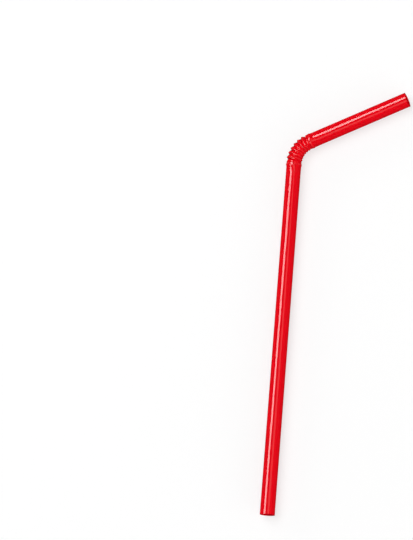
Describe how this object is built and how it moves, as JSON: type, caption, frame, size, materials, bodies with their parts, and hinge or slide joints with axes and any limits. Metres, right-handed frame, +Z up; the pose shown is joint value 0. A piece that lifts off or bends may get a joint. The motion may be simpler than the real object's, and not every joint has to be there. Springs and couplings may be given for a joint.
{
  "type": "drinking straw",
  "caption": "Flexible plastic drinking straw, bent at its folds, lying flat.",
  "frame": {"origin": "below the middle of the bounding box, in the plane that the straw lies on", "axes": "+Z up from the surface that it lies on, +Y along the long leg from its cut foot towards the folds, +X the side that the folds turn the short leg to"},
  "size_m": [0.0502, 0.1732, 0.0065],
  "materials": {
    "straw": "glossy red polypropylene, a little see-through where light falls on the far side of the wall"
  },
  "bodies": {
    "root": {"straw": "straw"}
  },
  "joints": []
}
